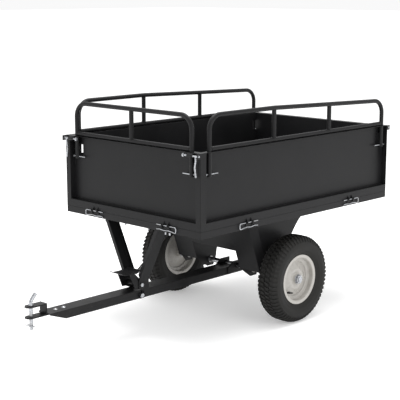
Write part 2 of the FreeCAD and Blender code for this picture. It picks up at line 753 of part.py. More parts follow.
save("rear_cross_members", *[cross_member(y) for y in rear_member_ys], bracket_web())
save("left_axle_bracket", bracket())
save("right_axle_bracket", mirror_x(bracket()))
bushes = []
for way in (-1, 1):
    for x in (bracket_inner + bracket_sheet / 2, bracket_outer - bracket_sheet / 2):
        bushes.append(sleeve((way * (x - 6), axle_y, axle_z), (way * (x + 6), axle_y, axle_z),
                             bush_radius, axle_radius + running_gap))
save("axle_bushes", *bushes)

# ---------- wheels ----------
hub_inner_end = -46.0
hub_outer_end = 30.0
nut_thickness = 9.0
washer_thickness = 2.0
washer_at = wheel_x + hub_outer_end + 2.5
axle_end = washer_at + washer_thickness + nut_thickness + 3
axle = rod((-axle_end, axle_y, axle_z), (axle_end, axle_y, axle_z), axle_radius)
save("axle", axle)
spacer_start = bracket_outer + 6
spacer_end = wheel_x + hub_inner_end - 3.5
save("axle_spacers", *[sleeve((way * spacer_start, axle_y, axle_z), (way * spacer_end, axle_y, axle_z),
                              17.0, axle_radius + running_gap) for way in (-1, 1)])
washers = []
hub_nuts = []
for way in (-1, 1):
    a = (way * washer_at, axle_y, axle_z)
    b = (way * (washer_at + washer_thickness), axle_y, axle_z)
    washers.append(sleeve(a, b, 22.0, axle_radius + running_gap))
    nut = hexagon((b[0] if way > 0 else b[0] - nut_thickness, axle_y, axle_z), (1, 0, 0), 36,
                  nut_thickness)
    hub_nuts.append(nut.cut(rod((way * (washer_at - 5), axle_y, axle_z),
                                (way * (axle_end + 5), axle_y, axle_z), axle_radius)))
save("hub_washers", *washers)
save("hub_nuts", *hub_nuts)


def turned(profile):
    """Turn a profile of (offset from the wheel's mid-plane, radius) about the axle."""
    points = [vec(wheel_x + a, axle_y, axle_z + r) for a, r in profile]
    face = Part.Face(Part.makePolygon(points + points[:1]))
    return face.revolve(vec(wheel_x, axle_y, axle_z), vec(1, 0, 0), 360)


def tyre():
    half = tyre_width / 2
    rim_half = rim_width / 2
    bead = rim_seat_radius + 0.3
    seat = rim_half - rim_wall - 0.3
    lip = rim_flange_radius + 0.8
    tread = tyre_radius

    def at(a, r):
        return vec(wheel_x + a, axle_y, axle_z + r)

    shoulder = tread - 16
    edges = []
    spots = [at(-seat, lip), at(-half, 156), at(-half + 12, shoulder)]
    edges.append(Part.Arc(*spots).toShape())
    edges.append(Part.Arc(spots[2], at(-half + 22, tread - 5), at(-half + 34, tread - 1.5)).toShape())
    edges.append(Part.Arc(at(-half + 34, tread - 1.5), at(0, tread), at(half - 34, tread - 1.5)).toShape())
    edges.append(Part.Arc(at(half - 34, tread - 1.5), at(half - 22, tread - 5),
                          at(half - 12, shoulder)).toShape())
    edges.append(Part.Arc(at(half - 12, shoulder), at(half, 156), at(seat, lip)).toShape())
    edges.append(Part.LineSegment(at(seat, lip), at(seat, bead)).toShape())
    edges.append(Part.LineSegment(at(seat, bead), at(seat - 8, bead)).toShape())
    edges.append(Part.LineSegment(at(seat - 8, bead), at(seat - 8, lip)).toShape())
    edges.append(Part.Arc(at(seat - 8, lip), at(0, tread - 14), at(8 - seat, lip)).toShape())
    edges.append(Part.LineSegment(at(8 - seat, lip), at(8 - seat, bead)).toShape())
    edges.append(Part.LineSegment(at(8 - seat, bead), at(-seat, bead)).toShape())
    edges.append(Part.LineSegment(at(-seat, bead), at(-seat, lip)).toShape())
    face = Part.Face(Part.Wire(edges))
    return face.revolve(vec(wheel_x, axle_y, axle_z), vec(1, 0, 0), 360)


def rim():
    h = rim_width / 2
    w = rim_wall
    f, s, d = rim_flange_radius, rim_seat_radius, rim_well_radius
    barrel = turned([(-h, f), (-h + w, f), (-h + w, s), (-18, s), (-13, d), (13, d), (18, s), (h - w, s),
                     (h - w, f), (h, f), (h, s - w), (19.5, s - w), (14.5, d - w), (-14.5, d - w),
                     (-19.5, s - w), (-h, s - w)])
    disc = turned([(8, d - w / 2), (11, d - w / 2), (13, 70), (19, 52), (22, 40), (22, hub_outer_radius - 1),
                   (19, hub_outer_radius - 1), (19, 39), (16, 51), (10, 69)])
    hub = sleeve((wheel_x + hub_inner_end, axle_y, axle_z), (wheel_x + hub_outer_end, axle_y, axle_z),
                 hub_outer_radius, bearing_radius)
    inner_disc = turned([(-11, d - w / 2), (-8, d - w / 2), (-14, 60), (-24, 40), (-24, hub_outer_radius - 1),
                         (-27, hub_outer_radius - 1), (-27, 40), (-17, 60)])
    shape = fuse([barrel, disc, hub, inner_disc])
    return shape.cut(valve_axis(5.0, 60.0))


valve_angle = math.radians(232)


def valve_axis(radius, length):
    """The line of the valve: through the disc near its rim, leaning outward."""
    reach = 77.0
    start = vec(wheel_x + 4, axle_y + reach * math.cos(valve_angle), axle_z + reach * math.sin(valve_angle))
    inward = vec(0, -math.cos(valve_angle), -math.sin(valve_angle))
    way = (vec(1, 0, 0) + inward * 0.15).normalize()
    return Part.makeCylinder(radius, length, start, way)


def valve():
    stem = valve_axis(4.9, 20.0)
    cap = valve_axis(3.6, 34.0)
    return fuse([stem, cap])


def bearings():
    parts = []
    for inner, way in ((hub_inner_end, 1), (hub_outer_end, -1)):
        a = (wheel_x + inner, axle_y, axle_z)
        b = (wheel_x + inner + way * bearing_length, axle_y, axle_z)
        lip = (wheel_x + inner - way * 2, axle_y, axle_z)
        body = fuse([rod(a, b, bearing_radius), rod(lip, a, 22.0)])
        parts.append(body.cut(rod((lip[0] - way, axle_y, axle_z), (b[0] + way, axle_y, axle_z),
                                  axle_radius + running_gap)))
    return parts


wheel_parts = {"tyre": [tyre()], "rim": [rim()], "bearings": bearings(), "valve": [valve()]}
for name, shapes in wheel_parts.items():
    save("left_" + name, *shapes)
    save("right_" + name, *[mirror_x(shape) for shape in shapes])
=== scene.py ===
import json
import math
import bmesh
import bpy
from mathutils import Matrix, Vector


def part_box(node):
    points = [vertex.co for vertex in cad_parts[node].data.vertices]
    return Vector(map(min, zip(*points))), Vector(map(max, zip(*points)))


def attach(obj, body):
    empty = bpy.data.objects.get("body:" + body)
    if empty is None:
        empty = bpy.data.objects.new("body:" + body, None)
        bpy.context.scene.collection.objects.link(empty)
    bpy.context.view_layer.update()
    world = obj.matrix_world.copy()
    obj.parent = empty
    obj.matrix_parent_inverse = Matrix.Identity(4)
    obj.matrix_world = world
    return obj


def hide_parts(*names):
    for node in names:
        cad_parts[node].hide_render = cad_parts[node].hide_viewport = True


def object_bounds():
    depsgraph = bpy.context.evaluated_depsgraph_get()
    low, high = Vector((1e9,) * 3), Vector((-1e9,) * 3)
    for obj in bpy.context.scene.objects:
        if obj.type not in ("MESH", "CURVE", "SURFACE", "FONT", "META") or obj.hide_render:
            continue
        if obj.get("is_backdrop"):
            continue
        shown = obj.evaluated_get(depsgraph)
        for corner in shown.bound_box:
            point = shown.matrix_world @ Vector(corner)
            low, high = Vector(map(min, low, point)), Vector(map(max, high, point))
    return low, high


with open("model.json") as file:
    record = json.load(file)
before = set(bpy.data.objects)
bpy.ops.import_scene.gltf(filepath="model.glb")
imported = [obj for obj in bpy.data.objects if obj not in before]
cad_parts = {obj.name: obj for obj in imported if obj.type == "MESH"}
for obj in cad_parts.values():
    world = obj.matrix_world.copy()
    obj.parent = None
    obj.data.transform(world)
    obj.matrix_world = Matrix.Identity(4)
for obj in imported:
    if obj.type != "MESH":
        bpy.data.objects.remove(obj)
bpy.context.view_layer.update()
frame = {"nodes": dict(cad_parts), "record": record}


# ---------- drawbar ----------
# An upside-down steel channel with a slanted nose, cut and folded from one sheet and powder coated
# satin black.  Two ears welded to its webs carry it on the axle.

BODY_OF = {node: body for body, nodes in frame["record"]["behaviour"]["bodies"].items() for node in nodes}
SHARP = math.radians(38)
SAME_POINT = 2e-6
SAME_PLANE = math.radians(0.4)


class Shade:
    """A shader socket that adds Math nodes when it is used in an expression."""

    def __init__(self, finish, socket):
        self.finish = finish
        self.socket = socket

    def _math(self, operation, first, second=0.0):
        return self.finish.node("ShaderNodeMath", {"operation": operation}, {0: first, 1: second})

    def __add__(self, other):
        return self._math("ADD", self, other)

    def __sub__(self, other):
        return self._math("SUBTRACT", self, other)

    def __rsub__(self, other):
        return self._math("SUBTRACT", other, self)

    def __mul__(self, other):
        return self._math("MULTIPLY", self, other)

    def __pow__(self, other):
        return self._math("POWER", self, other)

    __radd__ = __add__
    __rmul__ = __mul__


class Finish:
    """A material under construction, with one Principled shader."""

    def __init__(self, name):
        self.material = bpy.data.materials.new(name)
        self.material.use_nodes = True
        self.tree = self.material.node_tree
        self.shader = self.tree.nodes["Principled BSDF"]
        self.place = self.node("ShaderNodeTexCoord", {}, {}, "Object")

    def node(self, kind, settings, inputs, output=0):
        made = self.tree.nodes.new(kind)
        for key, value in settings.items():
            setattr(made, key, value)
        for key, value in inputs.items():
            self.feed(made.inputs[key], value)
        return Shade(self, made.outputs[output])

    def feed(self, socket, value):
        if isinstance(value, Shade):
            self.tree.links.new(value.socket, socket)
        else:
            socket.default_value = value

    def noise(self, scale, detail=4.0, roughness=0.5):
        return self.node("ShaderNodeTexNoise", {},
                         {"Vector": self.place, "Scale": scale, "Detail": detail, "Roughness": roughness})

    def stretched_noise(self, scale, stretch):
        turned = self.node("ShaderNodeMapping", {}, {"Vector": self.place, "Scale": stretch})
        return self.node("ShaderNodeTexNoise", {}, {"Vector": turned, "Scale": scale, "Detail": 3.0})

    def mask(self, value, low, high):
        """0 below low, 1 above high."""
        return self.node("ShaderNodeMapRange", {"clamp": True},
                         {"Value": value, "From Min": low, "From Max": high})

    def mix(self, factor, first, second):
        return self.node("ShaderNodeMix", {"data_type": "RGBA"},
                         {0: factor, 6: (*first, 1) if isinstance(first, tuple) else first,
                          7: (*second, 1) if isinstance(second, tuple) else second}, 2)

    def along(self, axis):
        return self.node("ShaderNodeSeparateXYZ", {}, {0: self.place}, axis)

    def bump(self, height, distance, strength, under=None):
        inputs = {"Height": height, "Distance": distance, "Strength": strength}
        if under is not None:
            inputs["Normal"] = under
        return self.node("ShaderNodeBump", {}, inputs)

    def set(self, **sockets):
        for name, value in sockets.items():
            self.feed(self.shader.inputs[name.replace("_", " ")], value)
        return self.material


def powder_coat():
    """Satin black powder coat: orange peel, a slow ripple of the sheet, grey dust on what faces down low."""
    f = Finish("satin_black_powder_coat")
    black, worn, dust = (0.0072, 0.0072, 0.0078), (0.0105, 0.0105, 0.0112), (0.050, 0.047, 0.042)
    blotch = f.mask(f.noise(5.0, 5.0, 0.6), 0.35, 0.7)
    low = f.mask(f.along("Z"), 0.42, 0.12)
    speckle = f.mask(f.noise(70.0, 6.0, 0.7), 0.54, 0.72)
    coat = f.mix(blotch, black, worn)
    rubbed = f.mask(f.stretched_noise(120.0, (1.0, 0.12, 1.0)), 0.62, 0.8)
    colour = f.mix(low * speckle * 0.35, coat, dust)
    peel = f.bump(f.noise(820.0, 2.0), 0.00008, 0.35)
    ripple = f.bump(f.noise(3.2, 2.0), 0.004, 0.1, peel)
    return f.set(Base_Color=colour, Roughness=0.36 + blotch * 0.1 + rubbed * 0.05 + low * speckle * 0.2,
                 Specular_IOR_Level=0.17, Normal=ripple)


BLACK = powder_coat()


def own_material(piece, material):
    piece.data.materials.clear()
    piece.data.materials.append(material)


def finished(name, mesh, body, material, replaced=()):
    """A new piece in its final place: it rides on a body and stands for its CAD nodes."""
    piece = bpy.data.objects.new(name, mesh)
    bpy.context.scene.collection.objects.link(piece)
    own_material(piece, material)
    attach(piece, body)
    if replaced:
        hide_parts(*replaced)
    return piece


def smooth_mesh(bm, name, sharp_angle=38):
    mesh = bpy.data.meshes.new(name)
    for face in bm.faces:
        face.smooth = True
    bm.to_mesh(mesh)
    bm.free()
    mesh.set_sharp_from_angle(angle=math.radians(sharp_angle))
    return mesh


def softened(node, material, edge=0.0005, steps=2):
    """The CAD node's own shape with its sheared and sawn edges slightly rounded."""
    source = frame["nodes"][node]
    bm = bmesh.new()
    bm.from_mesh(source.data)
    bmesh.ops.remove_doubles(bm, verts=bm.verts, dist=SAME_POINT)
    bmesh.ops.dissolve_limit(bm, angle_limit=SAME_PLANE, verts=bm.verts, edges=bm.edges)
    sharp = [e for e in bm.edges if e.is_manifold and e.calc_face_angle(0.0) > SHARP]
    if edge > 0 and sharp:
        bmesh.ops.bevel(bm, geom=sharp, offset=edge, offset_type="OFFSET", segments=steps, profile=0.5,
                        affect="EDGES", material=-1, clamp_overlap=False)
    piece = finished(f"{node}_piece", smooth_mesh(bm, f"{node}_piece"), BODY_OF[node], material,
                     [node])
    weighted = piece.modifiers.new("flat_faces_stay_flat", "WEIGHTED_NORMAL")
    weighted.keep_sharp = True
    return piece


def ring(bm, centre, axis, radius, wire, steps=36):
    """A round bead: a small circle spun once round an axis."""
    axis = Vector(axis).normalized()
    side = axis.orthogonal().normalized()
    turn = Matrix.Translation(Vector(centre) + side * radius)
    turn = turn @ side.cross(axis).to_track_quat("Z", "Y").to_matrix().to_4x4()
    made = bmesh.ops.create_circle(bm, segments=8, radius=wire, matrix=turn)
    edges = list({e for v in made["verts"] for e in v.link_edges})
    bmesh.ops.spin(bm, geom=made["verts"] + edges, cent=Vector(centre), axis=axis, angle=2 * math.pi,
                   steps=steps, use_merge=True)


def bead_run(bm, start, end, size, pitch=0.0035):
    """A weld: a row of overlapping flattened drops laid from start to end."""
    start, end = Vector(start), Vector(end)
    count = max(2, round((end - start).length / pitch))
    for step in range(count + 1):
        spot = Matrix.Translation(start.lerp(end, step / count))
        bmesh.ops.create_icosphere(bm, subdivisions=1, radius=size * (1 + 0.12 * math.sin(step * 2.3)),
                                   matrix=spot)


def weld_piece(name, body, bm):
    return finished(name, smooth_mesh(bm, name, 80), body, BLACK)


softened("drawbar", BLACK, 0.0012, 3)
softened("pivot_ears", BLACK, 0.0006)
ear_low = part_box("pivot_ears")[0]
bar_low, bar_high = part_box("drawbar")
weld_size = 0.0018
drawbar_welds = bmesh.new()
for x in (bar_low.x - 0.0006, bar_high.x + 0.0006):
    bead_run(drawbar_welds, (x, ear_low.y + 0.004, bar_high.z - 0.006),
             (x, ear_low.y + 0.004, bar_low.z + 0.008), weld_size)
weld_piece("drawbar_ear_welds", "chassis", drawbar_welds)


# ---------- axle and its hardware ----------
# A solid round axle, zinc plated like its spacers, washers and nuts.  The nuts hold the wheels on.

def zinc_plate():
    """Bright zinc: small crystals of slightly different grey, faint handling marks, a cool tint."""
    f = Finish("bright_zinc_plate")
    crystals = f.node("ShaderNodeTexVoronoi", {}, {"Vector": f.place, "Scale": 260.0}, "Color")
    grey = f.node("ShaderNodeSeparateColor", {}, {0: crystals}, 0)
    marks = f.mask(f.stretched_noise(90.0, (1.0, 0.2, 1.0)), 0.5, 0.75)
    stain = f.mask(f.noise(22.0, 5.0, 0.6), 0.5, 0.75)
    colour = f.mix(stain * 0.5, f.mix(grey, (0.30, 0.31, 0.33), (0.47, 0.48, 0.50)), (0.27, 0.25, 0.21))
    return f.set(Base_Color=colour, Metallic=1.0, Roughness=0.25 + marks * 0.14 + stain * 0.16,
                 Normal=f.bump(f.noise(600.0, 2.0), 0.00005, 0.3))


def machined_steel():
    """Turned bearing steel with fine rings round the axle and a film of oil."""
    f = Finish("machined_bearing_steel")
    rings = f.stretched_noise(500.0, (6.0, 0.4, 0.4))
    oil = f.mask(f.noise(35.0), 0.45, 0.7)
    return f.set(Base_Color=f.mix(oil, (0.44, 0.44, 0.45), (0.26, 0.24, 0.21)), Metallic=1.0,
                 Roughness=0.28 + rings * 0.16, Normal=f.bump(rings, 0.00006, 0.4))


ZINC = zinc_plate()
MACHINED = machined_steel()
for node in ("axle", "axle_spacers", "hub_washers", "hub_nuts", "hitch_bolts", "hitch_nuts",
             "striker_bolt", "striker_nut"):
    softened(node, ZINC, 0.0007)
own_material(frame["nodes"]["axle_bushes"], MACHINED)


# ---------- hitch ----------
# Two flat steel jaws hold the tractor's hitch plate between them.  A bent zinc pin drops through
# both and a hairpin clip keeps it there.  The upper jaw is folded and welded to the strap below.

softened("hitch_strap", BLACK, 0.0009, 3)
softened("upper_jaw", BLACK, 0.0009, 3)
softened("hitch_pin", ZINC, 0.0010, 3)
softened("hitch_clip", ZINC, 0.0004)
jaw_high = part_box("upper_jaw")[1]
strap_low, strap_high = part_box("hitch_strap")
jaw_welds = bmesh.new()
bead_run(jaw_welds, (strap_low.x + 0.003, jaw_high.y + 0.0004, strap_high.z + 0.0005),
         (strap_high.x - 0.003, jaw_high.y + 0.0004, strap_high.z + 0.0005), weld_size)
weld_piece("upper_jaw_weld", "chassis", jaw_welds)


# ---------- tyres ----------
# Black rubber carcass with an open tread: two middle rows of slanted blocks, and shoulder lugs that
# run down onto the sidewall, so the outline is toothed.  Raised rings stiffen the sidewall.

tyre_low, tyre_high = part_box("left_tyre")
axle_low, axle_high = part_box("axle")
hub = Vector(((tyre_low.x + tyre_high.x) / 2, (axle_low.y + axle_high.y) / 2,
              (axle_low.z + axle_high.z) / 2))
tyre_radius = (tyre_high.z - tyre_low.z) / 2
tyre_half = (tyre_high.x - tyre_low.x) / 2
lug_height = 0.0052
lugs_around = 60
tread_gap = 0.0009
sidewall_rings = (5, 6, 9, 17)
sidewall_ring_height = 0.0011


def tyre_rubber():
    """Matte black rubber, greyer where it is dusty, with fine moulded grain."""
    f = Finish("tyre_rubber")
    patches = f.mask(f.noise(9.0, 6.0, 0.65), 0.4, 0.7)
    grain = f.noise(420.0, 3.0)
    colour = f.mix(patches, (0.0095, 0.0093, 0.0088), (0.0160, 0.0152, 0.0138))
    return f.set(Base_Color=colour, Roughness=0.62 + patches * 0.16, Specular_IOR_Level=0.25,
                 Normal=f.bump(grain, 0.00025, 0.35))


def wheel_point(axial, radius, angle):
    return hub + Vector((axial, radius * math.cos(angle), radius * math.sin(angle)))


def spun(bm, outline, steps, closed=True):
    """Spin an outline of (offset from the wheel's middle, radius) about the axle."""
    verts = [bm.verts.new(wheel_point(a, r, 0.0)) for a, r in outline]
    pairs = list(zip(verts, verts[1:] + verts[:1])) if closed else list(zip(verts, verts[1:]))
    edges = [bm.edges.new(pair) for pair in pairs]
    bmesh.ops.spin(bm, geom=verts + edges, cent=hub, axis=(1, 0, 0), angle=2 * math.pi, steps=steps,
                   use_merge=True)


def arc_points(start, through, end, count):
    """Points on the curve through three places; the ends are included."""
    points = []
    for step in range(count + 1):
        t = step / count
        weights = ((1 - t) * (1 - 2 * t), 4 * t * (1 - t), t * (2 * t - 1))
        points.append(tuple(sum(w * p[k] for w, p in zip(weights, (start, through, end))) for k in (0, 1)))
    return points


def carcass_outline():
    base = tyre_radius - lug_height
    seat, bead, lip = 0.0392, 0.1019, 0.1165
    wall = arc_points((seat, lip), (tyre_half - 0.0006, 0.155), (tyre_half - 0.0125, base - 0.0125), 22)
    for index in sidewall_rings:
        a, r = wall[index]
        wall[index] = (a + sidewall_ring_height if a < tyre_half - 0.0018 else a, r)
    shoulder = arc_points(wall[-1], (tyre_half - 0.021, base - 0.0035), (tyre_half - 0.034, base - 0.0008), 6)
    crown = arc_points(shoulder[-1], (0.0, base), (-shoulder[-1][0], shoulder[-1][1]), 8)
    half = [(seat, bead)] + wall + shoulder[1:]
    other = [(-a, r) for a, r in reversed(half)]
    inside = arc_points((-seat + 0.008, lip), (0.0, base - 0.010), (seat - 0.008, lip), 16)
    return half + crown[1:-1] + other + [(-seat + 0.008, bead)] + inside + [(seat - 0.008, bead)]


def block(bm, angle, width, slant, near, far, top_near, top_far, foot):
    """A tread block from near to far across the tyre; its far end sits slant radians further round."""
    made = bmesh.ops.create_cube(bm, size=1.0)
    for vert in made["verts"]:
        across = vert.co.x + 0.5
        around = vert.co.y * width * (0.86 if vert.co.z > 0 else 1.0)
        top = top_near + (top_far - top_near) * across
        radius = top if vert.co.z > 0 else top - foot
        vert.co = wheel_point(near + (far - near) * across, radius, angle + around + slant * across)
    edges = list({e for v in made["verts"] for e in v.link_edges})
    bmesh.ops.bevel(bm, geom=edges, offset=0.0008, offset_type="OFFSET", segments=1, profile=0.5,
                    affect="EDGES", material=-1)


def tyre_mesh():
    bm = bmesh.new()
    spun(bm, carcass_outline(), 128)
    top = tyre_radius - tread_gap
    pitch = 2 * math.pi / lugs_around
    for index in range(lugs_around):
        angle = index * pitch
        for side, offset in ((1, 0.0), (-1, pitch / 2)):
            a = angle + offset
            block(bm, a, pitch * 0.56, side * pitch * 0.22, side * 0.0285, side * 0.0445, top - 0.0008,
                  top - 0.0085, 0.011)
            block(bm, a + pitch * 0.24 * side, pitch * 0.5, 0.0, side * 0.0445, side * 0.0535, top - 0.0085,
                  top - 0.024, 0.008)
            block(bm, a + pitch * 0.3, pitch * 0.62, side * pitch * 0.3, side * 0.0025, side * 0.0245, top,
                  top - 0.0006, 0.009)
    bmesh.ops.recalc_face_normals(bm, faces=bm.faces)
    return smooth_mesh(bm, "left_tyre_tread", 32)


def mirrored(mesh, name):
    """The same piece for the other side of the cart."""
    bm = bmesh.new()
    bm.from_mesh(mesh)
    bmesh.ops.scale(bm, vec=(-1, 1, 1), verts=bm.verts)
    bmesh.ops.reverse_faces(bm, faces=bm.faces)
    return smooth_mesh(bm, name, 32)


RUBBER = tyre_rubber()
left_tread = tyre_mesh()
right_tread = mirrored(left_tread, "right_tyre_tread")
finished("left_tyre_tread", left_tread, "left_wheel", RUBBER, ["left_tyre"])
finished("right_tyre_tread", right_tread, "right_wheel", RUBBER, ["right_tyre"])


# ---------- rims ----------
# Two pressed steel halves welded to a hub tube and enamelled off-white: a rolled flange, a stepped
# barrel, and a dished disc with a raised ring round the hub.

def rim_enamel():
    """Gloss off-white enamel, darkened in patches in the dish, the barrel's recess and round the hub: painted
    shade mixed with grey road dirt.
    """
    f = Finish("off_white_rim_enamel")
    dy = f.along("Y") - hub.y
    dz = f.along("Z") - hub.z
    radius = (dy * dy + dz * dz) ** 0.5
    grime_and_shade_patches = f.mask(f.noise(28.0, 6.0, 0.65), 0.42, 0.75)
    # painted shade: the barrel's recess and the ring round the hub are darkened by radius, in patches that
    # also stand for road dirt
    painted_recess_shade = f.mask(radius, 0.050, 0.026) + f.mask(radius, 0.080, 0.094) * f.mask(radius, 0.104, 0.098)
    colour = f.mix(painted_recess_shade * grime_and_shade_patches * 0.55, (0.385, 0.370, 0.345), (0.17, 0.155, 0.13))
    return f.set(Base_Color=colour, Roughness=0.27 + grime_and_shade_patches * 0.14, Coat_Weight=0.12,
                 Normal=f.bump(f.noise(180.0, 2.0), 0.00015, 0.2))


rim_low, rim_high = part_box("left_rim")
flange_radius = (rim_high.z - rim_low.z) / 2
rim_half = 0.042
sheet = 0.0025
seat_radius = 0.1016
drop_radius = 0.086


def rim_mesh():
    """Outlines are pairs of offset from the wheel's middle and radius: flange f, bead seat s, drop d."""
    bm = bmesh.new()
    f, s, d = flange_radius, seat_radius, drop_radius
    half = [(0.0, d), (0.0115, d)]
    half += arc_points((0.0115, d), (0.0142, d + 0.0018), (0.0165, s - 0.004), 6)[1:]
    half += arc_points((0.0165, s - 0.004), (0.0178, s - 0.0008), (0.0200, s), 5)[1:]
    half += [(rim_half - 0.0055, s)]
    half += arc_points((rim_half - 0.0055, s), (rim_half - 0.0030, s + 0.0012),
                       (rim_half - 0.0025, s + 0.004), 5)[1:]
    half += [(rim_half - 0.0025, f - 0.004)]
    half += arc_points((rim_half - 0.0025, f - 0.004), (rim_half - 0.0012, f - 0.0004),
                       (rim_half, f - 0.0010), 5)[1:]
    barrel = [(-a, r) for a, r in reversed(half[1:])] + half
    lip = [(rim_half, f - 0.003), (rim_half, s + 0.001), (rim_half - 0.003, s - sheet)]
    under = [(a, r - sheet) for a, r in reversed(half[1:-8])]
    inner = lip + under + [(0.0, d - sheet)]
    mirrored_inner = [(-a, r) for a, r in reversed(inner[:-1])]
    spun(bm, barrel + inner + mirrored_inner, 128)
    dish = arc_points((0.0075, d - 0.0012), (0.0120, 0.070), (0.0190, 0.052), 8)
    dish += arc_points((0.0190, 0.052), (0.0222, 0.046), (0.0225, 0.0385), 6)[1:]
    dish += arc_points((0.0225, 0.0385), (0.0215, 0.034), (0.0245, 0.0305), 5)[1:]
    dish += [(0.0255, 0.0236)]
    back = [(a - sheet, r) for a, r in reversed(dish)]
    spun(bm, dish + back, 128)
    inside = arc_points((-0.0075, d - 0.0012), (-0.0150, 0.060), (-0.0250, 0.040), 8) + [(-0.0265, 0.0236)]
    inside_back = [(a + sheet, r) for a, r in reversed(inside)]
    spun(bm, inside + inside_back, 96)
    tube, bore, round_off = 0.0240, 0.0176, 0.0012
    spun(bm, [(-0.0460 + round_off, tube), (0.0300 - round_off, tube), (0.0300, tube - round_off),
              (0.0300, bore), (-0.0460, bore), (-0.0460, tube - round_off)], 96)
    bmesh.ops.recalc_face_normals(bm, faces=bm.faces)
    ring(bm, hub + Vector((0.0262, 0, 0)), (1, 0, 0), 0.0248, 0.0016, 72)
    ring(bm, hub + Vector((0.0088, 0, 0)), (1, 0, 0), d - 0.0030, 0.0016, 96)
    return smooth_mesh(bm, "left_rim_pressing", 40)


ENAMEL = rim_enamel()
left_pressing = rim_mesh()
finished("left_rim_pressing", left_pressing, "left_wheel", ENAMEL, ["left_rim"])
finished("right_rim_pressing", mirrored(left_pressing, "right_rim_pressing"), "right_wheel", ENAMEL,
         ["right_rim"])


# ---------- valves and wheel bearings ----------
# A moulded rubber valve stem leans out of each disc, pulled through its hole.
# Flanged steel bearings are pressed into both ends of the hub tube.

def valve_rubber():
    """Soft black rubber with a faint grey bloom."""
    f = Finish("valve_rubber")
    bloom = f.mask(f.noise(160.0, 4.0), 0.45, 0.7)
    return f.set(Base_Color=f.mix(bloom, (0.012, 0.012, 0.012), (0.030, 0.029, 0.027)),
                 Roughness=0.5 + bloom * 0.2, Normal=f.bump(f.noise(900.0), 0.0001, 0.4))


VALVE = valve_rubber()
for side in ("left", "right"):
    softened(f"{side}_valve", VALVE, 0.0006, 3)
    softened(f"{side}_bearings", MACHINED, 0.0006)


# ---------- bed floor, cross members and deck bolts ----------
# One folded steel tray, upside down, on four folded channels.  Low round-headed bolts go through
# the floor and the channels into the brackets and struts below.

softened("bed_floor", BLACK, 0.0011, 3)
for node in ("front_cross_member", "middle_cross_member", "rear_cross_members"):
    softened(node, BLACK, 0.0006)
softened("deck_bolts", ZINC, 0.0012, 3)
softened("deck_nuts", ZINC, 0.0006)


# ---------- axle brackets ----------
# Folded sheet brackets hang from the bed and turn on the axle: sloping front, chamfered outer
# corner, and a side plate with a hollow rear edge.  The sheets meet in welds.

for node in ("left_axle_bracket", "right_axle_bracket"):
    softened(node, BLACK, 0.0010, 3)


# ---------- struts ----------
# Two folded steel channels make a V under the bed's front and end in flat feet beside the drawbar.
# They are bolted to the front cross member and powder coated with the rest.

for node in ("left_strut", "right_strut"):
    softened(node, BLACK, 0.0007)


# ---------- dump latch ----------
# A foot pedal on two hooked plates.  Its hooks sit under the drawbar's bolt; stepping on the pad
# swings them back and frees the bed.  A wound spring pulls the lever back.

softened("pedal_lever", BLACK, 0.0007)
softened("foot_pad", BLACK, 0.0009, 3)
softened("pedal_pivot_bolt", ZINC, 0.0007)
softened("pedal_pivot_nut", ZINC, 0.0007)
softened("spring_eye", BLACK, 0.0006)
pad_low, pad_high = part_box("foot_pad")
pad_ribs = 5
rib_radius = 0.0016
ribs = bmesh.new()
for index in range(pad_ribs):
    y = pad_low.y + 0.026 + index * (pad_high.y - pad_low.y - 0.052) / (pad_ribs - 1)
    z = pad_high.z - 0.008 + 0.0001
    across = Matrix.Translation(((pad_low.x + pad_high.x) / 2, y, z)) @ Matrix.Rotation(math.pi / 2, 4, "Y")
    bmesh.ops.create_cone(ribs, cap_ends=True, segments=14, radius1=rib_radius, radius2=rib_radius,
                          depth=(pad_high.x - pad_low.x) * 0.84, matrix=across)
weld_piece("foot_pad_grip_ribs", "pedal", ribs)


def spring_steel():
    """Black oiled spring wire, with bare brighter wire where the coils rub."""
    f = Finish("oiled_spring_steel")
    rub = f.mask(f.noise(55.0, 5.0), 0.5, 0.68)
    return f.set(Base_Color=f.mix(rub, (0.030, 0.029, 0.028), (0.11, 0.105, 0.10)), Metallic=0.85,
                 Roughness=0.34 + rub * 0.12, Normal=f.bump(f.noise(700.0, 2.0), 0.00005, 0.3))


spring_low, spring_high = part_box("return_spring")
coil_radius = 0.0052
coil_wire = 0.0012
spring_start = Vector((0, spring_low.y + 0.0024, spring_low.z + 0.0020))
spring_end = Vector((0, spring_high.y - 0.0010, spring_high.z - 0.0018))


def spring_mesh():
    run = spring_end - spring_start
    close = 0.024
    length = run.length - 2 * close
    pitch = coil_wire * 2.35
    turns = int(length / pitch)
    steps_per_turn = 14
    bm = bmesh.new()
    upright = Matrix.Translation((coil_radius, 0, close)) @ Matrix.Rotation(math.pi / 2, 4, "X")
    wire = bmesh.ops.create_circle(bm, segments=6, radius=coil_wire, matrix=upright)
    edges = list({e for v in wire["verts"] for e in v.link_edges})
    bmesh.ops.spin(bm, geom=wire["verts"] + edges, cent=(0, 0, 0), axis=(0, 0, 1),
                   dvec=(0, 0, length / (turns * steps_per_turn)), angle=2 * math.pi * turns,
                   steps=turns * steps_per_turn, use_merge=False)
    for z in (close, close + length):
        way = 1 if z > close else -1
        leg = Matrix.Translation((0, 0, z + way * close / 2))
        bmesh.ops.create_cone(bm, cap_ends=True, segments=10, radius1=coil_wire, radius2=coil_wire,
                              depth=close * 0.84, matrix=leg)
        ring(bm, (0, 0, z), (0, 0, 1), coil_radius * 0.5, coil_wire, 20)
    bmesh.ops.holes_fill(bm, edges=[e for e in bm.edges if e.is_boundary], sides=0)
    bmesh.ops.recalc_face_normals(bm, faces=bm.faces)
    place = Matrix.Translation(spring_start) @ run.to_track_quat("Z", "Y").to_matrix().to_4x4()
    bmesh.ops.transform(bm, matrix=place, verts=bm.verts)
    return smooth_mesh(bm, "return_spring_coil", 60)


finished("return_spring_coil", spring_mesh(), "bed", spring_steel(),
         ["return_spring"])


# ---------- sides ----------
# Four pans of thin sheet with their rims turned outward.  They stand on the bed floor and fold
# down on eyes welded to their lower lips.

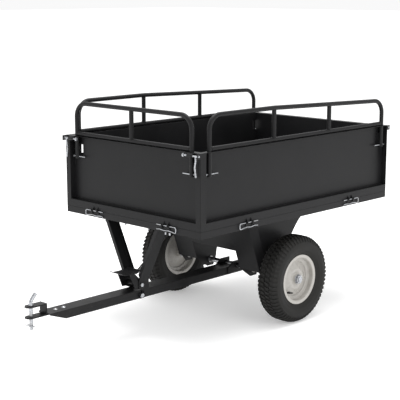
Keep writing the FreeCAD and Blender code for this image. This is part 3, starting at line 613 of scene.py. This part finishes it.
for node in ("front_panel", "rear_panel", "left_panel", "right_panel"):
    softened(node, BLACK, 0.00055)
softened("hinge_ears", BLACK, 0.0005)


# ---------- hinge clips ----------
# Hairpin clips of zinc-plated wire: the straight leg is the hinge pin, the wavy leg hangs outside.

for node in ("front_hinge_clips", "rear_hinge_clips", "left_hinge_clips", "right_hinge_clips"):
    softened(node, ZINC, 0.0004)


# ---------- rails ----------
# Bent tube hoops with posts and a low bar, all welded.  Their legs stand in the sides' top rims and
# a zinc cross pin goes through the foot of each leg.

def rail_welds(node, body, across):
    """Weld rings round the posts and legs of one rail.  across is 0 for X or 1 for Y."""
    low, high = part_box(node)
    tube = min(high.x - low.x, high.y - low.y) / 2
    middle = (low + high) / 2
    top_of_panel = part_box(f"{node.split('_')[0]}_panel")[1].z
    bar = top_of_panel + tube + 0.0002
    if across == 0:
        spots = [low.x + tube, middle.x, high.x - tube]
    else:
        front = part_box("bed_floor")[0].y
        spots = [low.y + tube, front + 0.477, front + 0.870, high.y - tube]
    bm = bmesh.new()
    for index, spot in enumerate(spots):
        x, y = (spot, middle.y) if across == 0 else (middle.x, spot)
        inner_post = 0 < index < len(spots) - 1
        if inner_post:
            ring(bm, (x, y, bar + tube * 0.93), (0, 0, 1), tube + 0.0004, 0.0015, 36)
            continue
        way = 1 if index == 0 else -1
        offset = way * tube * 0.93
        centre = (x + offset, y, bar) if across == 0 else (x, y + offset, bar)
        ring(bm, centre, (1, 0, 0) if across == 0 else (0, 1, 0), tube + 0.0002, 0.0012, 36)
    bmesh.ops.recalc_face_normals(bm, faces=bm.faces)
    weld_piece(f"{node}_welds", body, bm)


for node, across in (("front_rail", 0), ("left_rail", 1), ("right_rail", 1)):
    softened(node, BLACK, 0.0005)
    rail_welds(node, node, across)
    softened(f"{node}_pins", ZINC, 0.0005)


# ---------- corner bolts ----------
# A bent zinc bolt slides in a strap under each corner of the front and rear gates and shoots
# through the ear on the end of the side.

for end in ("front", "rear"):
    softened(f"{end}_bolt_guides", BLACK, 0.0006)
    for side in ("left", "right"):
        softened(f"{end}_{side}_corner_bolt", ZINC, 0.0007)


# ---------- studio ----------
# A pale seamless floor, a wide soft light overhead, and two large panels at the sides.

def studio_floor():
    f = Finish("pale_floor")
    cloud = f.noise(0.6, 2.0)
    colour = f.mix(cloud, (0.90, 0.90, 0.90), (0.93, 0.93, 0.93))
    return f.set(Base_Color=colour, Roughness=0.9, Emission_Color=(1, 1, 1, 1), Emission_Strength=0.30)


bm = bmesh.new()
bmesh.ops.create_grid(bm, x_segments=1, y_segments=1, size=60.0)
floor = bpy.data.objects.new("studio_floor", smooth_mesh(bm, "studio_floor"))
bpy.context.scene.collection.objects.link(floor)
floor.data.materials.append(studio_floor())
floor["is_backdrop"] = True

world = bpy.data.worlds.new("studio_air")
world.use_nodes = True
world.node_tree.nodes["Background"].inputs["Color"].default_value = (1, 1, 1, 1)
world.node_tree.nodes["Background"].inputs["Strength"].default_value = 0.95
bpy.context.scene.world = world
bpy.context.scene.view_settings.view_transform = "Standard"

low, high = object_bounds()
centre = (low + high) / 2


def soft_light(name, place, size, power):
    light = bpy.data.lights.new(name, "AREA")
    light.shape = "RECTANGLE"
    light.size, light.size_y = size
    light.energy = power
    lamp = bpy.data.objects.new(name, light)
    bpy.context.scene.collection.objects.link(lamp)
    lamp.location = centre + Vector(place)
    lamp.rotation_euler = (-Vector(place)).to_track_quat("-Z", "Y").to_euler()


soft_light("overhead", (-0.3, 0.4, 3.6), (3.4, 3.4), 150)
soft_light("side_panel", (4.2, -0.4, 1.3), (2.4, 2.2), 42)
soft_light("front_panel_light", (-1.6, -4.0, 1.5), (2.4, 2.0), 22)

azimuth, elevation = math.radians(43.93), math.radians(10.93)
distance = 5.05
aim = centre + Vector((0.044, 0.014, 0.052))
back = Vector((math.sin(azimuth) * math.cos(elevation), -math.cos(azimuth) * math.cos(elevation),
               math.sin(elevation)))
camera = bpy.data.objects.new("camera", bpy.data.cameras.new("camera"))
bpy.context.scene.collection.objects.link(camera)
camera.data.sensor_width = 36.0
camera.data.lens = 98.75
camera.location = aim + back * distance
camera.rotation_euler = (-back).to_track_quat("-Z", "Y").to_euler()
bpy.context.scene.camera = camera
